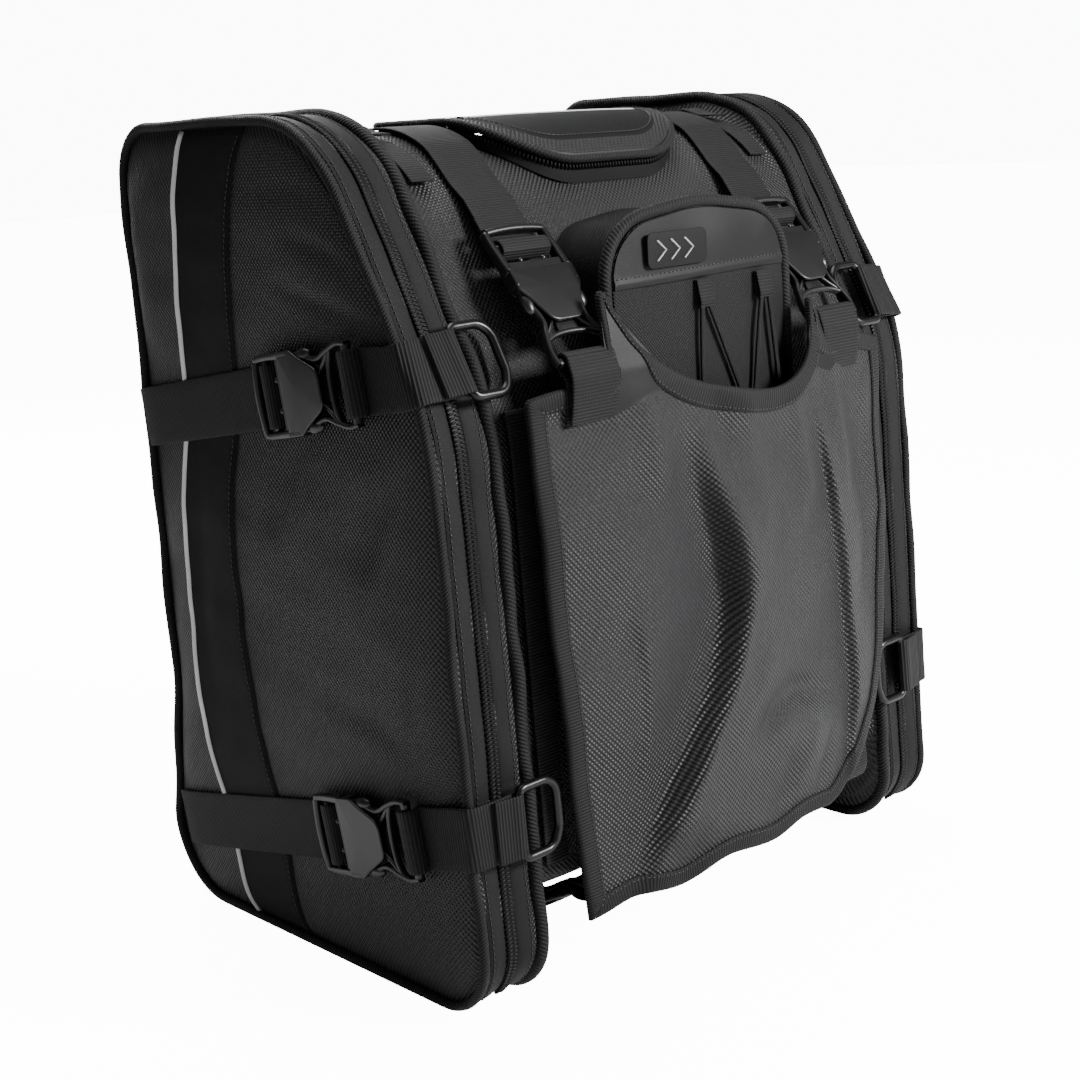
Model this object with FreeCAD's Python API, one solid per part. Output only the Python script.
import FreeCAD, Part
import math
import os

from FreeCAD import Vector

# Motorcycle tail bag, in millimetres.
# X runs across the bag, Y from the flap side (-Y) to the side that faces the rider's back rest (+Y), Z is up.
# The origin is the middle of the overall box, at the height of the base.

# ---- driving dimensions ----
WIDTH = 430.0                # between the centre lines of the two outer pipings
HEIGHT = 518.0               # top of the side compartments above the ground
MAIN_TOP = 502.0             # the main bag's top lies lower, between the two inner pipings
BASE_Z = 4.0                 # bottom fabric above the ground, the height of the pipings below it
TOP_BACK_Y = 155.0           # upright back face
TOP_FRONT_Y = -41.0          # where the flat top would meet the sloping shoulder
SHOULDER_Y = -128.0          # where the shoulder meets the upright front
SHOULDER_Z = 354.0
FRONT_FOOT_Y = -146.0        # the front leans out a little towards the ground
BACK_FOOT_Y = 180.0          # so does the lowest part of the back
BACK_FLARE_Z = 150.0
CENTRE_SHIFT_Y = -2.9        # brings the middle of the overall box to Y = 0

FABRIC = 2.0                 # padded outer fabric
GAP = 0.3                    # clearance between separate pieces
INNER_SEAM_X = 170.0         # inner piping, between the main bag and a side compartment
INNER_PIPING_R = 4.0
OUTER_PIPING_R = 3.0
PANEL_INSET = 4.0            # the side panel lies inside the outer piping
ZIP_X = 194.0                # centre of the side zip
ZIP_COIL_HALF = 5.0
ZIP_TAPE_HALF = 15.0
WEBBING = 38.0               # wide webbing of every strap
WEBBING_THICK = 1.6
RIBBED_THICK = 2.2

STRAP_X = 113.5              # centre of the two straps that hold the flap
FLAP_DIRECTION = Vector(0, -0.6, -0.8)
FLAP_TANGENT = Vector(0, -68.8, 469.8)   # where the strap leaves the rounded top
FLAP_BUCKLE_AT = 78.0        # middle of the upper flap buckle, along the strap from the tangent point

POCKET_HALF = 77.5
POCKET_TOP = 451.0
POCKET_FOOT = 78.0
POCKET_Y = -137.0
FLAP_HALF = 155.0            # at its seam
FLAP_FOOT_HALF = 140.0       # it narrows towards its foot
FLAP_FOOT = 52.0
FLAP_SEAM = 362.0
FLAP_EAR_TOP = 412.0
FLAP_EAR_OUTER = 85.0
FLAP_CENTRE_Y = -155.0
FLAP_EDGE_Y = -141.0
FLAP_THICK = 2.0
BINDING_WIDTH = 9.0
BINDING_FACE = 3.2           # front of the binding ahead of the flap's inner face
LEAN = 1.6                   # degrees that the pocket and the flap lean out towards their feet

LID_HALF = 87.0
LID_FRONT_Y = -66.0
LID_BACK_Y = 62.0
LID_STRIP_Y = -8.0           # rear edge of the reflective strip across the lid
LID_STRIP_WIDTH = 8.0

BUCKLE_HALF_LENGTH = 48.0
BUCKLE_HALF_WIDTH = 25.0
BUCKLE_THICK = 12.0

# Each outline corner is (y, z, corner radius).
SIDE_OUTLINE = [
    (TOP_BACK_Y, HEIGHT, 32.0),
    (TOP_FRONT_Y, HEIGHT, 85.0),
    (SHOULDER_Y, SHOULDER_Z, 150.0),
    (FRONT_FOOT_Y, BASE_Z, 38.0),
    (BACK_FOOT_Y, BASE_Z, 50.0),
    (TOP_BACK_Y, BACK_FLARE_Z, 150.0),
]
CHAMFER_TOP = (-138.0, 68.0)
CHAMFER_FOOT = (-20.0, BASE_Z)
SHOULDER_RUN = (TOP_FRONT_Y - SHOULDER_Y) / (HEIGHT - SHOULDER_Z)
MAIN_FRONT_Y = SHOULDER_Y + (MAIN_TOP - SHOULDER_Z) * SHOULDER_RUN
MAIN_OUTLINE = [
    (TOP_BACK_Y, MAIN_TOP, 32.0),
    (MAIN_FRONT_Y, MAIN_TOP, 85.0),
    SIDE_OUTLINE[2],
    CHAMFER_TOP + (25.0,),
    CHAMFER_FOOT + (60.0,),
] + SIDE_OUTLINE[4:]

nodes = {}


# ---- outlines with rounded corners ----
def offset_corners(corners, distance):
    """Moves every side of a convex anticlockwise outline outwards, and grows its corner radii by as much."""
    moved = []
    count = len(corners)
    for i, (u, v, radius) in enumerate(corners):
        before, after = corners[i - 1], corners[(i + 1) % count]
        a = Vector(u - before[0], v - before[1], 0).normalize()
        b = Vector(after[0] - u, after[1] - v, 0).normalize()
        normal_a, normal_b = Vector(a.y, -a.x, 0), Vector(b.y, -b.x, 0)
        bisector = (normal_a + normal_b).normalize()
        reach = distance / bisector.dot(normal_a)
        moved.append((u + bisector.x * reach, v + bisector.y * reach, radius + distance))
    return moved


def rounded_edges(corners, place, closed=True):
    """Straight edges joined by tangent arcs; place turns (u, v) into a point in space."""
    count = len(corners)
    cuts = []
    for i, (u, v, radius) in enumerate(corners):
        here = Vector(u, v, 0)
        if not closed and i in (0, count - 1):
            cuts.append((here, None, here))
            continue
        before = Vector(*corners[i - 1][:2], 0)
        after = Vector(*corners[(i + 1) % count][:2], 0)
        a, b = (before - here).normalize(), (after - here).normalize()
        half = a.getAngle(b) / 2
        reach = radius / math.tan(half)
        bisector = (a + b).normalize()
        middle = here + bisector * (radius / math.sin(half) - radius)
        cuts.append((here + a * reach, middle, here + b * reach))
    edges = []
    for i, (start, middle, end) in enumerate(cuts):
        if middle is not None:
            edges.append(Part.Arc(place(start), place(middle), place(end)).toShape())
        if closed or i < count - 1:
            following = cuts[(i + 1) % count][0]
            if (following - end).Length > 1e-6:
                edges.append(Part.LineSegment(place(end), place(following)).toShape())
    return edges


def side_wire(corners, x):
    return Part.Wire(rounded_edges(corners, lambda p: Vector(x, p.x, p.y)))


def side_prism(corners, x0, x1):
    return Part.Face(side_wire(corners, x0)).extrude(Vector(x1 - x0, 0, 0))


def front_prism(corners, y0, y1):
    wire = Part.Wire(rounded_edges(corners, lambda p: Vector(p.x, y0, p.y)))
    return Part.Face(wire).extrude(Vector(0, y1 - y0, 0))


def plan_prism(corners, z0, z1):
    wire = Part.Wire(rounded_edges(corners, lambda p: Vector(p.x, p.y, z0)))
    return Part.Face(wire).extrude(Vector(0, 0, z1 - z0))


def ring(corners, inner, outer, x0, x1):
    """A band that follows an outline, between two distances outside it."""
    return side_prism(offset_corners(corners, outer), x0, x1).cut(
        side_prism(offset_corners(corners, inner), x0 - 1, x1 + 1))


def tube(edges, radius):
    """A round cord along edges that meet tangentially."""
    spine = Part.Wire(edges)
    start = edges[0].valueAt(edges[0].FirstParameter)
    direction = edges[0].tangentAt(edges[0].FirstParameter)
    section = Part.Wire(Part.Circle(start, direction, radius).toShape())
    return Part.Wire(spine).makePipeShell([section], True, False)


def box(x0, x1, y0, y1, z0, z1):
    return Part.makeBox(x1 - x0, y1 - y0, z1 - z0, Vector(x0, y0, z0))


def polygon(points, direction):
    return Part.Face(Part.makePolygon(points + points[:1])).extrude(direction)


def leaned(shape):
    """Tips a piece of the front so that its foot stands further forward than its top."""
    return shape.rotated(Vector(0, POCKET_Y, POCKET_TOP), Vector(1, 0, 0), -LEAN)


def mirrored(shape):
    return shape.mirror(Vector(0, 0, 0), Vector(1, 0, 0))


def both(shape):
    """The left piece and its mirror image on the right, as two solids."""
    return Part.makeCompound([shape, mirrored(shape)])


def solids(*shapes):
    return Part.makeCompound([solid for shape in shapes for solid in shape.Solids])


def framed(shape, origin, along, normal):
    """Places a shape whose own X is its length, Y its width and Z its outer side."""
    across = normal.cross(along)
    matrix = FreeCAD.Matrix(along.x, across.x, normal.x, origin.x,
                            along.y, across.y, normal.y, origin.y,
                            along.z, across.z, normal.z, origin.z, 0, 0, 0, 1)
    return shape.transformGeometry(matrix)


# ---- compartments ----
def hollow(corners, x0, x1, wall):
    inner = side_prism(offset_corners(corners, -wall), x0 + wall, x1 - wall)
    return side_prism(corners, x0, x1).cut(inner)


def compartments():
    seam = INNER_SEAM_X
    clear = INNER_PIPING_R + GAP
    nodes["main_bag_shell"] = hollow(MAIN_OUTLINE, -seam + clear, seam - clear, FABRIC)
    panel_x = -WIDTH / 2 + OUTER_PIPING_R
    side = hollow(SIDE_OUTLINE, panel_x, -seam - clear, FABRIC)
    nodes["side_compartment_left"] = side
    nodes["side_compartment_right"] = mirrored(side)
    panel = side_prism(offset_corners(SIDE_OUTLINE, -PANEL_INSET), panel_x - 5.0, panel_x - GAP)
    nodes["side_panels"] = both(panel)


def stiffeners():
    """Plastic boards inside the main bag: under the base, behind the back and in both side walls."""
    inside = FABRIC + GAP
    half = INNER_SEAM_X - INNER_PIPING_R - GAP - inside
    board = 2.5
    nodes["base_board"] = box(-half + 10, half - 10, 0, 118, BASE_Z + inside, BASE_Z + inside + board)
    back = box(-half + 10, half - 10, TOP_BACK_Y - inside - board, TOP_BACK_Y - inside,
               BACK_FLARE_Z + 40, MAIN_TOP - 42)
    wall = side_prism(offset_corners(MAIN_OUTLINE, -14.0), -half, -half + board)
    nodes["wall_boards"] = solids(back, wall, mirrored(wall))


def base_and_back():
    nodes["base_panel"] = box(-78, 78, -10, 118, 0, BASE_Z - GAP)
    nodes["back_panel"] = box(-80, 80, TOP_BACK_Y + GAP, TOP_BACK_Y + 4, BACK_FLARE_Z + 40, MAIN_TOP - 40)


# ---- seams and side zips ----
def pipings():
    inner = tube(side_wire(SIDE_OUTLINE, -INNER_SEAM_X).Edges, INNER_PIPING_R)
    nodes["inner_piping"] = both(inner)
    outer = tube(side_wire(offset_corners(SIDE_OUTLINE, -0.6), -WIDTH / 2 - 0.6).Edges, OUTER_PIPING_R)
    nodes["outer_piping"] = both(outer)


ZIP_END_BACK = 400.0         # height of the side zip's end on the back
ZIP_END_FRONT = 12.0


def side_zips():
    away = [box(-230, 0, 0, 220, -5, ZIP_END_BACK), box(-230, 0, -160, 220, -5, ZIP_END_FRONT)]

    def band(low, high, x0, x1):
        shape = ring(SIDE_OUTLINE, low, high, x0, x1)
        for region in away:
            shape = shape.cut(region)
        return shape

    left, right = -ZIP_X - ZIP_COIL_HALF, -ZIP_X + ZIP_COIL_HALF
    nodes["side_zip_coils"] = both(band(0.2, 2.4, left + GAP, right - GAP))
    outer_tape = band(0.2, 1.0, -ZIP_X - ZIP_TAPE_HALF, left)
    inner_tape = band(0.2, 1.0, right, -ZIP_X + ZIP_TAPE_HALF)
    nodes["side_zip_tapes"] = both(solids(outer_tape, inner_tape))


def slider(length=13.0, width=11.0, height=4.0):
    """Zip slider: waisted body with a bridge that holds the pull; it rides on the coil at its own Z = 0."""
    body = box(-length / 2, length / 2, -width / 2, width / 2, 0, height)
    for side in (-1, 1):
        waist = Part.makeCylinder(3.0, height, Vector(-2, side * (width / 2 + 1.8), 0))
        body = body.cut(waist)
    bridge = box(-4.5, 4.5, -1.5, 1.5, height, height + 3.6).cut(box(-2.6, 2.6, -2, 2, height, height + 2.2))
    return body.fuse(bridge).removeSplitter()


def pull(height=4.0):
    """Pull tab with an eye round the slider's bridge. Its pin lies along Y at the bridge."""
    tab = box(1.4, 30.0, -4.5, 4.5, height + 0.4, height + 1.9)
    eye = box(-1.2, 1.4, -4.5, 4.5, height + 0.4, height + 1.9)
    slot = box(-0.1, 6.5, -2.0, 2.0, height, height + 3)
    return tab.fuse(eye).cut(slot).removeSplitter()


def sliders():
    origin = Vector(-ZIP_X, TOP_BACK_Y + 2.7, ZIP_END_BACK + 14)
    down, out = Vector(0, 0, -1), Vector(0, 1, 0)
    for name, shape in (("slider", slider()), ("pull", pull())):
        placed = framed(shape, origin, down, out)
        nodes["side_zip_" + name + "_left"] = placed
        nodes["side_zip_" + name + "_right"] = mirrored(placed)


# ---- trims of the side panels ----
REFLECT_OUTLINE = [(66.0, 560.0), (104.0, 400.0), (122.0, 200.0), (112.0, 60.0), (84.0, -20.0)]
SEAM_OUTLINE = [(-12.0, 560.0), (46.0, 340.0), (61.0, 230.0), (50.0, 100.0), (22.0, -20.0)]


def side_trims():
    """The dark band behind the seam and the light reflective cord along its rear edge."""
    face_x = -WIDTH / 2 + OUTER_PIPING_R - 5.0
    clip = side_prism(offset_corners(SIDE_OUTLINE, -PANEL_INSET - 1), face_x - 4, face_x)

    def curve(points):
        spline = Part.BSplineCurve()
        spline.interpolate([Vector(face_x, y, z) for y, z in points])
        return spline.toShape()

    def region(front, back):
        top = Part.LineSegment(Vector(face_x, *back[0]), Vector(face_x, *front[0])).toShape()
        foot = Part.LineSegment(Vector(face_x, *front[-1]), Vector(face_x, *back[-1])).toShape()
        return Part.Face(Part.Wire(Part.__sortEdges__([curve(front), foot, curve(back), top])))

    cord_front = [(y - 2.4, z) for y, z in REFLECT_OUTLINE]
    band = region(SEAM_OUTLINE, [(y - GAP, z) for y, z in cord_front]).extrude(Vector(-1.0, 0, 0))
    nodes["side_bands"] = both(band.common(clip))
    cord = region(cord_front, REFLECT_OUTLINE).extrude(Vector(-2.0, 0, 0))
    nodes["reflective_cords"] = both(cord.common(clip))


# ---- front pocket with bungee lacing ----
POCKET_OUTLINE = [
    (-POCKET_HALF, POCKET_FOOT, 20.0),
    (POCKET_HALF, POCKET_FOOT, 20.0),
    (POCKET_HALF, POCKET_TOP - 8, 34.0),
    (0, POCKET_TOP + 2, 120.0),
    (-POCKET_HALF, POCKET_TOP - 8, 34.0),
]
BAND_FOOT = 410.0


def front_pocket():
    behind = side_prism(offset_corners(MAIN_OUTLINE, GAP), -100, 100)
    inner_behind = side_prism(offset_corners(MAIN_OUTLINE, GAP + FABRIC), -100, 100)
    outer = leaned(front_prism(POCKET_OUTLINE, POCKET_Y, -30)).cut(behind)
    inner = leaned(front_prism(offset_corners(POCKET_OUTLINE, -FABRIC), POCKET_Y + FABRIC, -30))
    nodes["front_pocket"] = outer.cut(inner.cut(inner_behind))
    order = offset_corners(POCKET_OUTLINE, 3.9)
    path = [(order[1][0], POCKET_FOOT + 24, 0)] + order[2:] + [(order[0][0], POCKET_FOOT + 24, 0)]
    edges = rounded_edges(path, lambda p: Vector(p.x, POCKET_Y + 3.6, p.y), closed=False)
    nodes["front_pocket_piping"] = leaned(tube(edges, 3.5))
    band = front_prism(offset_corners(POCKET_OUTLINE, -1.0), POCKET_Y - GAP - 0.8, POCKET_Y - GAP)
    nodes["pocket_band"] = leaned(band.common(box(-90, 90, -200, 0, BAND_FOOT, 470)))
    patch_y = POCKET_Y - GAP - 0.8
    patch = [(-51.0, 419.0, 3.0), (0.0, 419.0, 3.0), (0.0, 440.0, 3.0), (-51.0, 440.0, 3.0)]
    nodes["emblem_patch"] = leaned(front_prism(patch, patch_y - 1.2, patch_y - 0.1))


LACE_TOP_X = (-3.0, 53.0)
LACE_FOOT_X = (34.0,)
LACE_TOP_Z = 398.0
LACE_FOOT_Z = 322.0
LACE_R = 1.4


def bungee():
    """An elastic cord laced in a zigzag through small webbing tabs, for holding gloves or a jacket."""
    tabs = []
    for x in LACE_TOP_X:
        tabs.append(box(x - 6, x + 6, POCKET_Y - 1.9, POCKET_Y - GAP, LACE_TOP_Z - 6, BAND_FOOT - 1))
    for x in LACE_FOOT_X:
        tabs.append(box(x - 6, x + 6, POCKET_Y - 1.9, POCKET_Y - GAP, LACE_FOOT_Z - 10, LACE_FOOT_Z + 6))
    nodes["bungee_tabs"] = leaned(solids(*tabs))
    route = [(LACE_TOP_X[0], LACE_FOOT_Z + 8, 0)]
    for i, x in enumerate(LACE_TOP_X):
        route.append((x, LACE_TOP_Z + 4, 5.0))
        if i < len(LACE_FOOT_X):
            route.append((LACE_FOOT_X[i], LACE_FOOT_Z - 4, 5.0))
    route.append((LACE_TOP_X[-1], LACE_FOOT_Z + 8, 0))
    edges = rounded_edges(route, lambda p: Vector(p.x, POCKET_Y - 3.6, p.y), closed=False)
    nodes["bungee_cord"] = leaned(tube(edges, LACE_R))


# ---- flap ----
def flap_curve(inner, outer):
    """An upright sheet, bowed forwards in the middle, between two distances ahead of the inner face."""
    z0, z1 = FLAP_REACH

    def outline(out):
        left = Vector(-FLAP_HALF - 6, FLAP_EDGE_Y - out, z0)
        middle = Vector(0, FLAP_CENTRE_Y - out, z0)
        right = Vector(FLAP_HALF + 6, FLAP_EDGE_Y - out, z0)
        return left, middle, right
    a, b = outline(inner), outline(outer)
    edges = [Part.Arc(*a).toShape(), Part.LineSegment(a[2], b[2]).toShape(),
             Part.Arc(*b).toShape(), Part.LineSegment(b[0], a[0]).toShape()]
    return Part.Face(Part.Wire(Part.__sortEdges__(edges))).extrude(Vector(0, 0, z1 - z0))


SCOOP_HALF = 74.0
SCOOP_FOOT = 342.0
FRONT_FAR, FRONT_NEAR = -220.0, -100.0   # ahead of the flap and behind it
FLAP_REACH = (40.0, 430.0)               # heights below and above the whole flap


def flap_front(inset):
    """Front view of the flap: a tall panel with a U-shaped scoop between two raised ears."""
    top, foot = FLAP_HALF - inset, FLAP_FOOT_HALF - inset
    low, high = FLAP_FOOT + inset, FLAP_SEAM - inset
    corners = [(-foot, low, 14.0), (foot, low, 14.0), (top, high, 6.0), (-top, high, 6.0)]
    panel = front_prism(corners, FRONT_FAR, FRONT_NEAR)
    outer = -FLAP_EAR_OUTER + inset
    ear = polygon([Vector(x, FRONT_FAR, z) for x, z in (
        (outer, FLAP_SEAM - 20), (-40, FLAP_SEAM - 20), (-40, FLAP_EAR_TOP - inset),
        (outer + 8, FLAP_EAR_TOP - inset), (outer, FLAP_SEAM + 10))], Vector(0, FRONT_NEAR - FRONT_FAR, 0))
    reach, above = SCOOP_HALF + inset, 600.0
    scoop = front_prism([(-reach, SCOOP_FOOT - inset, 58.0), (reach, SCOOP_FOOT - inset, 58.0),
                         (reach, above, 5.0), (-reach, above, 5.0)], FRONT_FAR - 1, FRONT_NEAR + 1)
    return panel.fuse([ear, mirrored(ear)]).cut(scoop)


def flap():
    whole = flap_curve(0, FLAP_THICK).common(flap_front(0))
    front = flap_curve(FLAP_THICK + GAP, BINDING_FACE)
    nodes["flap_panel"] = leaned(whole)
    nodes["flap_binding"] = leaned(front.common(flap_front(0)).cut(flap_front(BINDING_WIDTH)))
    corner = polygon([Vector(x, FRONT_FAR, z) for x, z in (
        (-142, FLAP_SEAM - 11), (-92, FLAP_SEAM - 11), (-92, FLAP_EAR_TOP), (-55, FLAP_EAR_TOP),
        (-55, SCOOP_FOOT - 20), (-85, SCOOP_FOOT - 8))], Vector(0, FRONT_NEAR - FRONT_FAR, 0))
    nodes["flap_reinforcements"] = leaned(both(front.common(corner).common(flap_front(BINDING_WIDTH + GAP))))

    def loop(inner, outer, low, high):
        left, right = -STRAP_X - WEBBING / 2, -STRAP_X + WEBBING / 2
        return flap_curve(inner, outer).common(box(left, right, FRONT_FAR, FRONT_NEAR, low, high))

    upper = loop(BINDING_FACE + GAP, BINDING_FACE + RIBBED_THICK - 0.4, FLAP_SEAM - 18, FLAP_SEAM + 8)
    lower = loop(-GAP - RIBBED_THICK, -GAP, FLAP_FOOT + 1, FLAP_FOOT + 24)
    nodes["flap_loops"] = leaned(both(solids(upper, lower)))


# ---- side-release buckles ----
def housing():
    """Female half: an adjuster ladder behind a shield that covers the prongs and is open at both sides."""
    half = BUCKLE_HALF_WIDTH
    ladder = box(-BUCKLE_HALF_LENGTH, -13, -half, half, 2.2, 8.5)
    for start in (-43.5, -31.0):
        ladder = ladder.cut(box(start, start + 8.0, -20, 20, 0, 12))
    wall = box(-16, -13, -half, half, 2.2, BUCKLE_THICK)

    def shield(z0, z1, tip):
        return plan_prism([(-13.5, -half, 1.0), (0, -half + 1, 8.0), (tip, -12, 7.0),
                           (tip, 12, 7.0), (0, half - 1, 8.0), (-13.5, half, 1.0)], z0, z1)

    parts = [wall, shield(9.5, BUCKLE_THICK, 20.0), shield(2.2, 3.3, 14.0)]
    return ladder.fuse(parts).removeSplitter()


def tongue():
    """Male half: a webbing bar, a centre guide and two sprung prongs with swellings to press."""
    low, high = 3.6, 9.2
    end, half = BUCKLE_HALF_LENGTH, BUCKLE_HALF_WIDTH
    frame = plan_prism([(22, -half, 4.0), (end, -half, 4.0), (end, half, 4.0), (22, half, 4.0)], low, high)
    frame = frame.cut(box(31, 42, -20, 20, 0, BUCKLE_THICK))
    guide = box(-8, 23, -2.5, 2.5, low, high)
    prong = plan_prism([(-9, 12.5, 2.0), (23, 14.5, 1.0), (23, 18.5, 1.0), (12, 18.5, 2.0),
                        (5, 23.5, 3.0), (-9, 23.5, 2.0)], low, high)
    other = prong.mirror(Vector(0, 0, 0), Vector(0, 1, 0))
    return frame.fuse([guide, prong, other]).removeSplitter()


def webbing_plate(start, end=-15.0, low=0.2):
    """Straight webbing in a buckle's own frame; it ends under the housing's ladder."""
    return box(start, end, -WEBBING / 2, WEBBING / 2, low, low + WEBBING_THICK)


def unit(vector):
    return Vector(vector).normalize()


class Line:
    """A straight strap: where a buckle's middle is, which way its tongue points, and its outer side."""

    def __init__(self, middle, along, normal):
        self.middle, self.along, self.normal = middle, unit(along), unit(normal)

    def place(self, shape):
        return framed(shape, self.middle, self.along, self.normal)


SIDE_FACE_X = -WIDTH / 2 - 0.6 - OUTER_PIPING_R - 0.6
UPPER_SIDE = {"rear": (157.0, 334.0), "front": (-119.0, 379.0), "middle_y": -33.0}
LOWER_SIDE = {"rear": (160.0, 56.0), "front": (-148.0, 118.0), "middle_y": -55.0}
SHOULDER_SLOPE = unit(Vector(0, TOP_FRONT_Y - SHOULDER_Y, HEIGHT - SHOULDER_Z))
FRONT_SLOPE = unit(Vector(0, SHOULDER_Y - FRONT_FOOT_Y, SHOULDER_Z - BASE_Z))


def side_line(strap):
    (rear_y, rear_z), (front_y, front_z) = strap["rear"], strap["front"]
    along = Vector(0, front_y - rear_y, front_z - rear_z)
    share = (strap["middle_y"] - rear_y) / (front_y - rear_y)
    middle = Vector(SIDE_FACE_X, strap["middle_y"], rear_z + share * (front_z - rear_z))
    return Line(middle, along, Vector(-1, 0, 0))


def bottom_line():
    along = unit(Vector(0, CHAMFER_TOP[0] - CHAMFER_FOOT[0], CHAMFER_TOP[1] - CHAMFER_FOOT[1]))
    normal = Vector(0, -along.z, along.y)
    top = Vector(-STRAP_X, *CHAMFER_TOP)
    middle = top - along * (BUCKLE_HALF_LENGTH + 8.0) + normal * 2.2
    return Line(middle, along, normal)


def flap_line():
    normal = Vector(0, FLAP_DIRECTION.z, -FLAP_DIRECTION.y)
    middle = Vector(-STRAP_X, FLAP_TANGENT.y, FLAP_TANGENT.z) + FLAP_DIRECTION * FLAP_BUCKLE_AT
    return Line(middle, FLAP_DIRECTION, normal)


def buckles():
    lines = {"side_upper": side_line(UPPER_SIDE), "side_lower": side_line(LOWER_SIDE),
             "flap_upper": flap_line(), "flap_lower": bottom_line()}
    for name, line in lines.items():
        female = line.place(housing())
        nodes["buckle_housing_" + name + "_left"] = female
        nodes["buckle_housing_" + name + "_right"] = mirrored(female)
        nodes["buckle_tongues_" + name] = both(line.place(tongue()))


# ---- straps ----
def outer_path(inner, outer, x, region):
    """Webbing that lies on the main bag's outline, kept inside region."""
    return ring(MAIN_OUTLINE, inner, outer, x - WEBBING / 2, x + WEBBING / 2).common(region)


def flap_straps():
    line = flap_line()
    low, high = 0.4, 0.4 + WEBBING_THICK
    over_top = outer_path(low, high, -STRAP_X, box(-200, 0, FLAP_TANGENT.y + 1.5, 300, 430, 600))
    clear_of_bag = side_prism(offset_corners(MAIN_OUTLINE, high + GAP), -200, 0)
    free = line.place(webbing_plate(2 - FLAP_BUCKLE_AT))
    nodes["top_straps"] = both(solids(over_top, free.cut(clear_of_bag)))
    under = outer_path(low, high, -STRAP_X, box(-200, 0, CHAMFER_FOOT[0], 110, -5, 40))
    rising = bottom_line().place(webbing_plate(-80)).cut(clear_of_bag)
    rising = rising.common(box(-200, 0, -200, CHAMFER_FOOT[0] - GAP, 0.1, 200))
    nodes["bottom_straps"] = both(solids(under, rising))


def side_straps():
    rear, front = [], []
    for strap, slope in ((UPPER_SIDE, SHOULDER_SLOPE), (LOWER_SIDE, FRONT_SLOPE)):
        line = side_line(strap)
        back_end = -(strap["rear"][0] - strap["middle_y"]) / abs(line.along.y)
        rear.append(line.place(webbing_plate(back_end + 3)))
        normal = Vector(0, -slope.z, slope.y)
        seat = bar_seat(strap, slope)
        plate = framed(box(-WEBBING / 2, WEBBING / 2, -24, 24, -RIBBED_THICK, 0), seat, slope, normal)
        corner_x = SIDE_FACE_X - 0.2
        top, foot = seat + slope * WEBBING / 2, seat - slope * WEBBING / 2
        half = Vector(0, -line.along.z, line.along.y) * (WEBBING / 2)
        tail = line.middle + line.along * (BUCKLE_HALF_LENGTH + 0.5)
        side_points = [Vector(corner_x, top.y, top.z), Vector(corner_x, foot.y, foot.z),
                       Vector(corner_x, (tail + half).y, (tail + half).z),
                       Vector(corner_x, (tail - half).y, (tail - half).z)]
        if half.z > 0:
            side_points[2], side_points[3] = side_points[3], side_points[2]
        front.append(polygon(side_points, Vector(-RIBBED_THICK, 0, 0)).fuse(plate).removeSplitter())
    nodes["side_straps_rear"] = both(solids(*rear))
    nodes["side_straps_front"] = both(solids(*front))


# ---- D-rings ----
RING_R = 2.2
RING_HALF = 21.0
RING_REACH = 29.0
RING_SEAT_X = -198.5         # middle of the ribbed webbing across the front of the zip
RING_BAR_X = -185.5


def bar_seat(strap, slope):
    """Middle of the ribbed webbing on the front, above the zip, where a D-ring is held."""
    y, z = strap["front"]
    base = Vector(0, y, z)
    anchor = Vector(0, SHOULDER_Y, SHOULDER_Z)
    along = (base - anchor).dot(slope)
    on_line = anchor + slope * along
    normal = Vector(0, -slope.z, slope.y)
    seat = on_line + normal * (3.4 + RIBBED_THICK)
    return Vector(RING_SEAT_X, seat.y, seat.z)


def d_ring(half, reach, radius):
    bend = min(half - 1, reach - 6)
    corners = [(0, -half, 4.5), (reach, -half, bend), (reach, half, bend), (0, half, 4.5)]
    edges = rounded_edges(corners, lambda p: Vector(p.x, p.y, 0))
    return tube(edges, radius)


TOP_RING_X = -150.6
TOP_RING_HALF = 10.5
TOP_RING_REACH = 19.0


def d_rings():
    side = {"upper": bar_seat(UPPER_SIDE, SHOULDER_SLOPE), "lower": bar_seat(LOWER_SIDE, FRONT_SLOPE)}
    for name, slope in (("upper", SHOULDER_SLOPE), ("lower", FRONT_SLOPE)):
        normal = Vector(0, -slope.z, slope.y)
        bar = Vector(RING_BAR_X, side[name].y, side[name].z) + normal * (RING_R + 0.8)
        placed = framed(d_ring(RING_HALF, RING_REACH, RING_R), bar, Vector(1, 0, 0), normal)
        nodes["d_ring_" + name + "_left"] = placed
        nodes["d_ring_" + name + "_right"] = mirrored(placed)
    # The small ring beside the top strap lies back over the crest of the bag.
    tab = ring(MAIN_OUTLINE, 0.4, 2.0, TOP_RING_X - 9, TOP_RING_X + 9).common(
        box(-200, 0, -62, -6, 430, 600))
    nodes["d_ring_tabs"] = both(tab)
    bar = Vector(TOP_RING_X, 0, MAIN_TOP + 5.0)
    placed = framed(d_ring(TOP_RING_HALF, TOP_RING_REACH, 1.6), bar, Vector(0, 1, 0), Vector(0, 0, 1))
    nodes["d_ring_top_left"] = placed
    nodes["d_ring_top_right"] = mirrored(placed)


# ---- front webbing ----
FRONT_WEBBING_X = (-160.0, -143.0)


def front_webbing():
    outer, inner = FRONT_WEBBING_X
    strip = ring(MAIN_OUTLINE, 0.4, 0.4 + RIBBED_THICK, outer, inner).common(box(-200, 0, -200, 0, 80, 352))
    nodes["front_webbing"] = both(strip)


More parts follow.
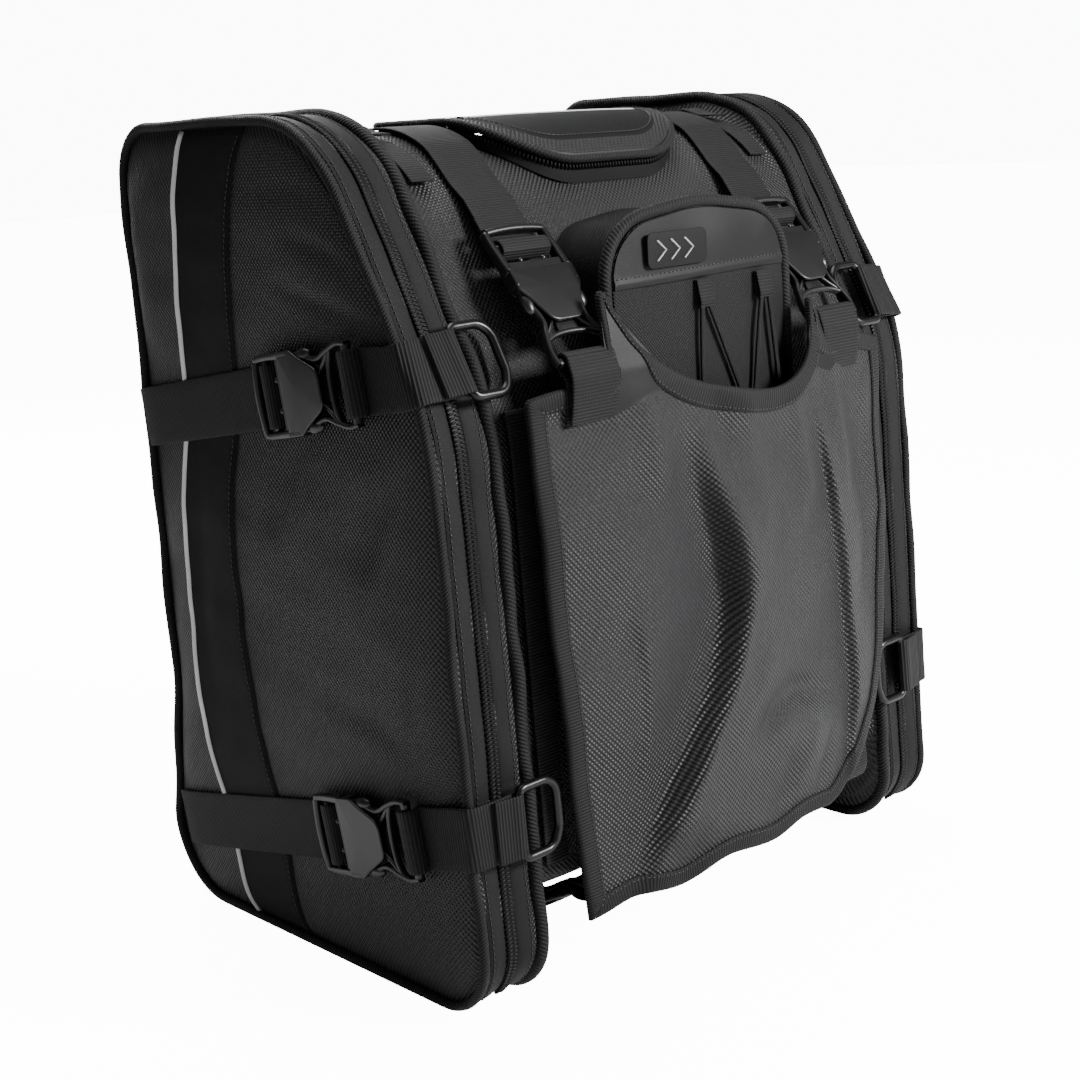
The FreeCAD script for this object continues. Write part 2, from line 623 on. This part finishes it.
# ---- top pocket ----
def lid_plan(grow):
    half = LID_HALF + grow
    return [(-half, LID_FRONT_Y - grow, 52.0 + grow), (half, LID_FRONT_Y - grow, 52.0 + grow),
            (half, LID_BACK_Y + grow, 12.0 + grow), (-half, LID_BACK_Y + grow, 12.0 + grow)]


def lid_layer(low, high, grow, inner=None):
    """A layer over the bag's top, between two distances outside its outline, cut to the lid's D shape."""
    layer = ring(MAIN_OUTLINE, low, high, -100, 100).common(plan_prism(lid_plan(grow), 430, 600))
    if inner is not None:
        layer = layer.cut(plan_prism(lid_plan(inner), 420, 610))
    return layer


def top_pocket():
    strip_front, strip_back = LID_STRIP_Y - LID_STRIP_WIDTH, LID_STRIP_Y
    nodes["top_pocket_wall"] = lid_layer(0.3, 6.0, 0, inner=-2.0)
    nodes["top_zip_coil"] = lid_layer(6.3, 8.3, 0, inner=-3.0)
    nodes["lid_shell"] = lid_layer(8.7, 13.0, 0)
    nodes["lid_piping"] = lid_layer(9.2, 13.5, 3.2, inner=GAP)
    panel = lid_layer(13.3, 14.0, -9.0)
    nodes["lid_panel"] = panel.cut(box(-200, 200, strip_front - GAP, strip_back + GAP, 430, 600))
    nodes["lid_reflective_strip"] = lid_layer(13.3, 14.1, -9.0).common(
        box(-200, 200, strip_front, strip_back, 430, 600))
    origin = Vector(LID_HALF + 3.4, LID_BACK_Y - 14, MAIN_TOP + 7.3)
    back, out = Vector(0, 1, 0), Vector(1, 0, 0)
    nodes["top_zip_slider"] = framed(slider(12.0, 5.0, 3.0), origin, back, out)
    nodes["top_zip_pull"] = framed(pull(3.0), origin, back, out)


def build():
    compartments()
    stiffeners()
    base_and_back()
    pipings()
    side_zips()
    sliders()
    side_trims()
    front_pocket()
    bungee()
    flap()
    buckles()
    flap_straps()
    side_straps()
    d_rings()
    front_webbing()
    top_pocket()


build()
os.makedirs("parts", exist_ok=True)
total = FreeCAD.BoundBox()
for name, shape in sorted(nodes.items()):
    shape.translate(Vector(0, CENTRE_SHIFT_Y, 0))
    total.add(shape.BoundBox)
    shape.exportStep("parts/" + name + ".step")
print(len(nodes), "nodes, box", total)
